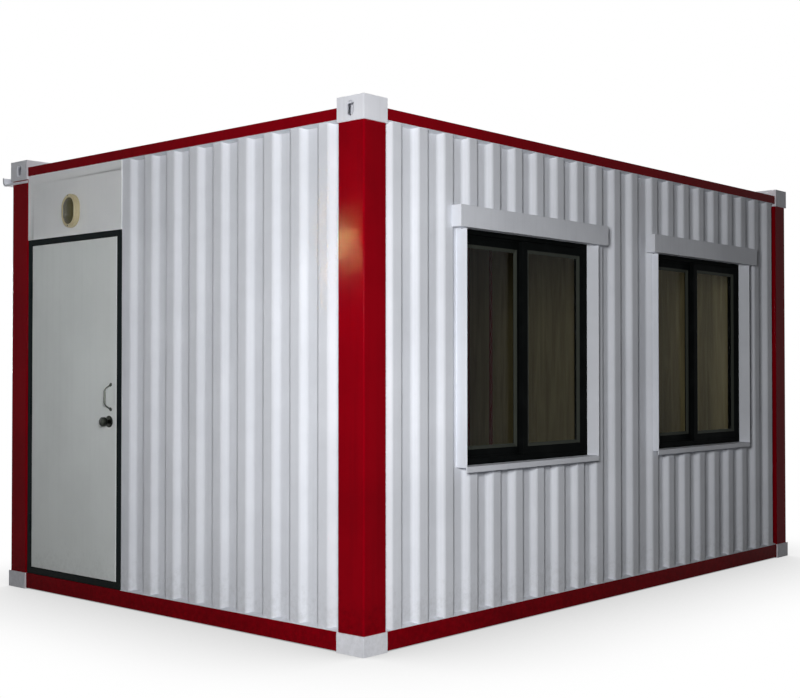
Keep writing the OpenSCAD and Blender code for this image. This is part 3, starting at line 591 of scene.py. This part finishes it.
# Grey plastic: matt, a little chalky
bead_material, tree, place = new_material("grey_glazing_plastic")
chalk = add_node(tree, "ShaderNodeTexNoise", {
    "Vector": place, "Scale": 1 / CHALK_PATCH, "Detail": 5.0})[0]
colour = add_node(tree, "ShaderNodeMix", {
    0: chalk, 6: linear(BEAD_GREY), 7: linear(BEAD_WORN)}, data_type="RGBA")[2]
shader = add_node(tree, "ShaderNodeBsdfPrincipled", {
    "Base Color": colour, "Roughness": 0.6, "Specular IOR Level": 0.05})[0]
add_node(tree, "ShaderNodeOutputMaterial", {"Surface": shader})

pane_low, pane_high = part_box("window_1_glass")
sash_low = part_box("window_1_sashes")[0]
bead_low = Vector((pane_high.x - PANE_WIDTH, sash_low.y, pane_low.z))
bead_high = Vector((pane_high.x, pane_low.y, pane_high.z))
bpy.ops.object.select_all(action="DESELECT")
bpy.ops.mesh.primitive_cube_add(size=1, location=(bead_low + bead_high) / 2)
bead = bpy.context.object
bead.name = "glazing_beads_1_right"
bead.scale = bead_high - bead_low
bpy.ops.object.transform_apply(location=True, rotation=True, scale=True)
bpy.ops.object.mode_set(mode="EDIT")
bpy.ops.mesh.select_mode(type="FACE")
bpy.ops.mesh.select_all(action="DESELECT")
shape = bmesh.from_edit_mesh(bead.data)
for face in shape.faces:
    face.select_set(abs(face.normal.y) > 0.9)
bmesh.update_edit_mesh(bead.data)
bpy.ops.mesh.inset(thickness=BEAD_WIDTH, use_individual=True)
bpy.ops.mesh.bridge_edge_loops()
bpy.ops.mesh.select_mode(type="VERT")
bpy.ops.mesh.select_all(action="DESELECT")
shape = bmesh.from_edit_mesh(bead.data)
for vert in shape.verts:
    inside = min(vert.co.x - bead_low.x, bead_high.x - vert.co.x) > BEAD_WIDTH / 2
    vert.select_set(inside and vert.co.y < bead_low.y + BEAD_LIP)
bmesh.update_edit_mesh(bead.data)
bpy.ops.transform.translate(value=(0, bead_high.y - bead_low.y - BEAD_LIP, 0))
bpy.ops.mesh.select_all(action="SELECT")
bpy.ops.mesh.bevel(offset=BEAD_EDGE, segments=2, profile=0.5)
bpy.ops.object.mode_set(mode="OBJECT")
smooth(bead)

pane_step = Vector((pane_low.x - bead_low.x, TRACK_STEP, 0))
window_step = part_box("window_2_glass")[0] - pane_low
beads = [bead, copy_moved(bead, "glazing_beads_1_left", pane_step),
         copy_moved(bead, "glazing_beads_2_right", window_step),
         copy_moved(bead, "glazing_beads_2_left", pane_step + window_step)]
for bead in beads:
    fit(bead, bead_material, "cabin", "black_aluminium")

# Door: a black steel frame round a flat white leaf of folded sheet, hung on three butt hinges.
# The leaf's skin is a little wavy between its stiffeners. The frame's enamel is black with a green cast.
LEAF_EDGE = 0.003
JAMB_EDGE = 0.0025
LEAF_PAINT = {"paint": "#EBF0EF", "faded": "#E5EAE9", "grime": "#9A9D99"}
JAMB_PAINT = {"paint": "#10181A", "faded": "#151D1E", "grime": "#39352D"}

# Satin enamel on the leaf: greyer than the walls, with broad waves
leaf_enamel = enamel("grey_white_enamel_on_door_skin", roughness=0.45, specular=0.04, streaks=0.05,
                     splash=0.15, ripple=0.004, **LEAF_PAINT)
# Black enamel on the frame and hinges: low sheen, dusty at the threshold
jamb_enamel = enamel("black_enamel_on_door_frame", roughness=0.42, specular=0.02, streaks=0.1,
                     splash=0.3, ripple=0.003, **JAMB_PAINT)
jambs = eased_copy("door_frame", "black_door_frame", JAMB_EDGE)
fit(jambs, jamb_enamel, "cabin", "black_paint", "door_frame")
leaf = eased_copy("door_leaf", "flat_door_leaf", LEAF_EDGE, longer=0.1)
fit(leaf, leaf_enamel, "door", "white_paint", "door_leaf")
for node, name, body in (("frame_hinges", "hinge_halves_on_frame", "cabin"),
                         ("leaf_hinges", "hinge_halves_on_leaf", "door")):
    halves = eased_copy(node, name, 0)
    fit(halves, jamb_enamel, body, "hinge_steel", node)

# Lock: turned roses on both faces of the leaf and round knobs on one spindle through it.
# They are brass with a dark bronze finish, rubbed brighter in patches by hands and keys.
BRONZE = "#141816"
BRONZE_RUBBED = "#3C4038"
RUBBED_PATCH = 0.02
KEY_SLOT = (0.002, 0.009, 0.006)
KEY_SLOT_OVER = 0.001

# Bronzed brass: near black, with a low metal shine that is lighter in rubbed patches
bronze_material, tree, place = new_material("dark_bronzed_brass")
rub = add_node(tree, "ShaderNodeTexNoise", {
    "Vector": place, "Scale": 1 / RUBBED_PATCH, "Detail": 4.0})[0]
rubbed = add_node(tree, "ShaderNodeMapRange", {"Value": rub, "From Min": 0.45, "From Max": 0.75})[0]
colour = add_node(tree, "ShaderNodeMix", {
    0: rubbed, 6: linear(BRONZE), 7: linear(BRONZE_RUBBED)}, data_type="RGBA")[2]
shader = add_node(tree, "ShaderNodeBsdfPrincipled", {
    "Base Color": colour, "Roughness": 0.3, "Metallic": 0.8})[0]
add_node(tree, "ShaderNodeOutputMaterial", {"Surface": shader})

slot_width, slot_height, slot_depth = KEY_SLOT
knob_low, knob_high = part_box("door_knob")
knob_y, knob_z = (knob_low.y + knob_high.y) / 2, (knob_low.z + knob_high.z) / 2
for node, name, body in (("lock_roses", "turned_roses", "door"),
                         ("door_knob", "turned_knobs", "knob")):
    turned = eased_copy(node, name, 0)
    fit(turned, bronze_material, body, "dark_lock", node)
    if body == "knob":
        cut_box(turned, (knob_low.x - KEY_SLOT_OVER, knob_y - slot_width / 2, knob_z - slot_height / 2),
                (knob_low.x + slot_depth, knob_y + slot_width / 2, knob_z + slot_height / 2))

# Screws: pan heads with a cross, pressed from steel wire. Two hold the lock's outer rose to the leaf,
# and others hold the lamp and the gutter's straps further on.
ROSE_SCREW = 0.027
SCREW_RADIUS = 0.0042
SCREW_RIM = 0.0014
SCREW_DOME = 0.0008
SCREW_SIDES = 24
CROSS = (0.0046, 0.0009)
CROSS_OVER = 0.01
bpy.ops.object.select_all(action="DESELECT")
bpy.ops.mesh.primitive_cylinder_add(vertices=SCREW_SIDES, radius=SCREW_RADIUS, depth=SCREW_RIM,
                                    location=(-SCREW_RIM / 2, 0, 0), rotation=(0, -math.pi / 2, 0))
screw = bpy.context.object
screw.name = "screw_pattern"
bpy.ops.object.transform_apply(location=True, rotation=True, scale=True)
bpy.ops.object.mode_set(mode="EDIT")
bpy.ops.mesh.select_mode(type="FACE")
bpy.ops.mesh.select_all(action="DESELECT")
shape = bmesh.from_edit_mesh(screw.data)
for face in shape.faces:
    face.select_set(face.normal.x < -0.9)
bmesh.update_edit_mesh(screw.data)
for rise in (SCREW_DOME, SCREW_DOME / 2):
    bpy.ops.mesh.inset(thickness=SCREW_RADIUS / 4)
    bpy.ops.transform.translate(value=(-rise, 0, 0))
bpy.ops.object.mode_set(mode="OBJECT")
for wide, high in (CROSS, CROSS[::-1]):
    cut_box(screw, (-CROSS_OVER, -wide / 2, -high / 2), (-SCREW_RIM, wide / 2, high / 2))
smooth(screw)
rose_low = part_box("lock_roses")[0]
for name, side in (("rose_screw_top", 1), ("rose_screw_bottom", -1)):
    head = copy_moved(screw, name, (rose_low.x, knob_y, knob_z + side * ROSE_SCREW))
    fit(head, bronze_material, "door", "dark_lock")

# Pull handle: a bent round bar of stainless steel on two feet, screwed to the leaf above the lock.
# The bar is ground dull, with fine scratches, and bowed: its middle is shorter than the span of its feet.
PULL_BOW = 0.42
STAINLESS = "#565A55"
SCRATCH_WIDTH = 0.002
SCRATCH_LENGTH = 0.05

# Ground stainless steel: grey metal with a soft shine, broken by the scratches along the bar
steel_material, tree, place = new_material("ground_stainless_steel")
# Scratches are half a millimetre wide and drawn at 2 mm, so that they show
drawn = add_node(tree, "ShaderNodeMapping", {
    "Vector": place, "Scale": (1 / SCRATCH_WIDTH, 1 / SCRATCH_WIDTH, 1 / SCRATCH_LENGTH)})[0]
scratch = add_node(tree, "ShaderNodeTexNoise", {"Vector": drawn, "Scale": 1.0, "Detail": 2.0})[0]
gloss = add_node(tree, "ShaderNodeMapRange", {
    "Value": scratch, "From Min": 0.3, "From Max": 0.7, "To Min": 0.25, "To Max": 0.45})[0]
shader = add_node(tree, "ShaderNodeBsdfPrincipled", {
    "Base Color": linear(STAINLESS), "Roughness": gloss, "Metallic": 1.0})[0]
add_node(tree, "ShaderNodeOutputMaterial", {"Surface": shader})

pull = eased_copy("pull_handle", "bent_pull_handle", 0)
pull_low, pull_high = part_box("pull_handle")
pull_middle = (pull_low.z + pull_high.z) / 2
bpy.ops.object.mode_set(mode="EDIT")
shape = bmesh.from_edit_mesh(pull.data)
for vert in shape.verts:
    out = (pull_high.x - vert.co.x) / (pull_high.x - pull_low.x)
    vert.co.z = pull_middle + (vert.co.z - pull_middle) * (1 - PULL_BOW * out)
bmesh.update_edit_mesh(pull.data)
bpy.ops.object.mode_set(mode="OBJECT")
smooth(pull)
fit(pull, steel_material, "door", "handle_steel", "pull_handle")

# Lamp: an oval bulkhead light with a moulded cream body and rim round a domed olive glass.
# It is screwed to the transom over the door.
LAMP_CREAM = "#CFC5A2"
LAMP_YELLOWED = "#AFA27C"
YELLOWED_PATCH = 0.05
LAMP_RIM = 0.020
LAMP_EDGE = 0.005
LENS_RIB = 0.007
GLASS_DEEP = "#2E2B17"
RIB_PAINTED_LIGHT = "#5C5734"

# Moulded plastic: cream, yellowed in patches, with a dull shine
lamp_material, tree, place = new_material("yellowed_moulded_plastic")
age = add_node(tree, "ShaderNodeTexNoise", {
    "Vector": place, "Scale": 1 / YELLOWED_PATCH, "Detail": 4.0})[0]
colour = add_node(tree, "ShaderNodeMix", {
    0: age, 6: linear(LAMP_CREAM), 7: linear(LAMP_YELLOWED)}, data_type="RGBA")[2]
shader = add_node(tree, "ShaderNodeBsdfPrincipled", {"Base Color": colour, "Roughness": 0.45})[0]
add_node(tree, "ShaderNodeOutputMaterial", {"Surface": shader})

# Pressed glass: dark olive, with upright ribs that break up its shine, and painted light that makes each
# rib paler along its wave
lens_material, tree, place = new_material("olive_pressed_glass")
# The ribs are 7 mm apart, and the wave repeats every pi / 10 at a scale of 1
ribs = add_node(tree, "ShaderNodeTexWave", {
    "Vector": place, "Scale": math.pi / 10 / LENS_RIB}, bands_direction="Y", wave_profile="SIN")["Fac"]
# Painted light: the ribs' wave colours the glass from its dark olive up to a paler, lit olive
colour = add_node(tree, "ShaderNodeMix", {
    0: ribs, 6: linear(GLASS_DEEP), 7: linear(RIB_PAINTED_LIGHT)}, data_type="RGBA")[2]
surface = add_node(tree, "ShaderNodeBump", {"Height": ribs, "Strength": 0.5, "Distance": 0.001})[0]
shader = add_node(tree, "ShaderNodeBsdfPrincipled", {
    "Base Color": colour, "Roughness": 0.25, "Normal": surface, "Specular IOR Level": 0.2})[0]
add_node(tree, "ShaderNodeOutputMaterial", {"Surface": shader})

housing = eased_copy("lamp_body", "lamp_housing", LAMP_EDGE, bends=(60, 120), longer=0.0)
fit(housing, lamp_material, "cabin", "lamp_plastic", "lamp_body")
lens = eased_copy("lamp_glass", "lamp_dome", 0)
fit(lens, lens_material, "cabin", "lamp_lens", "lamp_glass")
rim_low, rim_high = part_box("lamp_body")
for name, z in (("lamp_screw_top", rim_high.z - LAMP_RIM / 2),
                ("lamp_screw_bottom", rim_low.z + LAMP_RIM / 2)):
    head = copy_moved(screw, name, (rim_low.x, (rim_low.y + rim_high.y) / 2, z))
    fit(head, steel_material, "cabin", "lamp_plastic")

# Gutter: a folded steel trough along the rear eaves, held at each end by a strap across the post.
# Its pale enamel is like the castings', and goes over the straps' screws.
STRAP_SCREW_Y = (1.36, 1.45)
STRAP_SCREW_UP = 0.008
STRAP_SHADOW_GAP = 0.006
casting_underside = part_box("top_castings")[0].z
strap_low, strap_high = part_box("gutter_straps")
for node, name in (("rear_gutter", "folded_gutter"), ("gutter_straps", "curled_straps")):
    folded = eased_copy(node, name, 0)
    if node == "gutter_straps":
        # The straps' upper edges lie a little below the castings, and the dark red post shows in the gap
        # as a dark line in place of the castings' shadow
        bpy.ops.object.mode_set(mode="EDIT")
        bpy.ops.mesh.select_mode(type="VERT")
        bpy.ops.mesh.select_all(action="DESELECT")
        shape = bmesh.from_edit_mesh(folded.data)
        for vert in shape.verts:
            vert.select_set(abs(vert.co.z - casting_underside) < STRAP_SHADOW_GAP / 4)
        bmesh.update_edit_mesh(folded.data)
        bpy.ops.transform.translate(value=(0, 0, -STRAP_SHADOW_GAP))
        bpy.ops.object.mode_set(mode="OBJECT")
    fit(folded, casting_enamel, "cabin", "casting_paint", node)
for end, x, turn in (("door_end", strap_low.x, 0.0), ("right_end", strap_high.x, math.pi)):
    for number, y in enumerate(STRAP_SCREW_Y):
        head = copy_moved(screw, "strap_screw_%s_%d" % (end, number + 1),
                          (x, y, strap_low.z + STRAP_SCREW_UP), turn)
        fit(head, casting_enamel, "cabin", "casting_paint")
bpy.data.objects.remove(screw)

# Studio: a white floor with a painted shadow round the cabin, a white surround and soft lamps.
# The main lamp is beside the camera, as the photograph's light is, and the others fill from the sides.
# A small warm lamp puts the glint on the near post, and a weak one lights the lining behind the glass.
AMBIENT = 0.02
FLOOR_SIZE = 120.0
FLOOR_GREY = "#8C8C8C"
# Reach, deepest level and end of the floor's painted shadow
SHADOW_REACH = 1.2
SHADOW_DEEPEST = 0.35
SHADOW_END = 0.95


def seen_directly(tree):
    """1 for rays that show the surround itself: from the camera, by gloss or through glass."""
    path = add_node(tree, "ShaderNodeLightPath")
    seen = add_node(tree, "ShaderNodeMath", {
        0: path["Is Camera Ray"], 1: path["Is Glossy Ray"]}, operation="MAXIMUM")[0]
    return add_node(tree, "ShaderNodeMath", {
        0: seen, 1: path["Is Transmission Ray"]}, operation="MAXIMUM")[0]


# Matt studio floor: plain white to the eye, grey to the lamps, and darker close round the cabin, where a
# shadow is painted into its glow
floor_material, tree = new_material("white_studio_floor")[:2]
# Painted shadow: the floor's glow dims where ambient occlusion finds the cabin close by
cover = add_node(tree, "ShaderNodeAmbientOcclusion", {"Distance": SHADOW_REACH}, samples=16)["AO"]
shade = add_node(tree, "ShaderNodeMapRange", {
    "Value": cover, "From Min": 0.0, "From Max": SHADOW_END,
    "To Min": SHADOW_DEEPEST, "To Max": 1.0})[0]
glow = add_node(tree, "ShaderNodeEmission", {"Color": (1, 1, 1, 1), "Strength": shade})[0]
matt = add_node(tree, "ShaderNodeBsdfDiffuse", {"Color": linear(FLOOR_GREY)})[0]
shader = add_node(tree, "ShaderNodeMixShader", {0: seen_directly(tree), 1: matt, 2: glow})[0]
add_node(tree, "ShaderNodeOutputMaterial", {"Surface": shader})
bpy.ops.mesh.primitive_plane_add(size=FLOOR_SIZE)
floor = bpy.context.object
floor.name = "studio_floor"
floor.data.materials.append(floor_material)

world = bpy.data.worlds.new("white_surround")
world.use_nodes = True
bpy.context.scene.world = world
tree = world.node_tree
tree.nodes.clear()
level = add_node(tree, "ShaderNodeMapRange", {
    "Value": seen_directly(tree), "To Min": AMBIENT, "To Max": 1.0})[0]
sky = add_node(tree, "ShaderNodeBackground", {"Color": (1, 1, 1, 1), "Strength": level})[0]
add_node(tree, "ShaderNodeOutputWorld", {"Surface": sky})

for name, place, aim, width, height, spread, power, colour in (
        ("main_lamp", (-5.2, -4.2, 1.9), (-2.2, -1.5, 1.3), 0.8, 0.8, 150, 126, "#FFFFFF"),
        ("door_end_fill", (-6.9, 3.8, 2.4), (-2.2, 0.5, 1.7), 0.5, 0.5, 40, 2.0, "#FFFFFF"),
        ("post_light", (-6.9, 3.36, 2.60), (-2.2, -1.87, 1.9), 0.06, 0.27, 10, 1.15, "#FFCC88"),
        ("room_light", (0.6, -0.6, 1.6), (2.1, -0.6, 1.4), 0.6, 0.6, 120, 0.9, "#FFFFFF"),
        ("rear_lamp", (1.0, 7.5, 1.9), (0.0, 1.5, 1.3), 2.5, 1.2, 100, 75, "#FFFFFF"),
        ("right_lamp", (8.0, 3.0, 1.9), (2.2, 0.0, 1.3), 2.5, 1.2, 100, 90, "#FFFFFF"),
        ("top_lamp", (0.5, 1.0, 6.0), (0.0, 0.0, 2.5), 2.5, 2.5, 100, 50, "#FFFFFF")):
    turn = (Vector(aim) - Vector(place)).to_track_quat("-Z", "Y").to_euler()
    bpy.ops.object.light_add(type="AREA", location=place, rotation=turn)
    lamp = bpy.context.object
    lamp.name = name
    lamp.data.shape = "RECTANGLE"
    lamp.data.size = width
    lamp.data.size_y = height
    lamp.data.energy = power
    lamp.data.color = linear(colour)[:3]
    lamp.data.spread = math.radians(spread)
    lamp.visible_camera = False

# Camera: at the photograph's place and angle, a little above the lock's height and off the near corner.
# The place and lens come from the cabin's own straight edges in the photograph.
CAMERA_PLACE = (-6.479, -5.550, 1.315)
CAMERA_YAW = 48.186
CAMERA_PITCH = 0.99
CAMERA_LENS = 57.66
CAMERA_SENSOR = 36.0
bpy.ops.object.camera_add(
    location=CAMERA_PLACE,
    rotation=(math.radians(90 + CAMERA_PITCH), 0, math.radians(-CAMERA_YAW)))
camera = bpy.context.object
camera.data.lens = CAMERA_LENS
camera.data.sensor_width = CAMERA_SENSOR
bpy.context.scene.camera = camera
bpy.context.scene.view_settings.view_transform = "Standard"
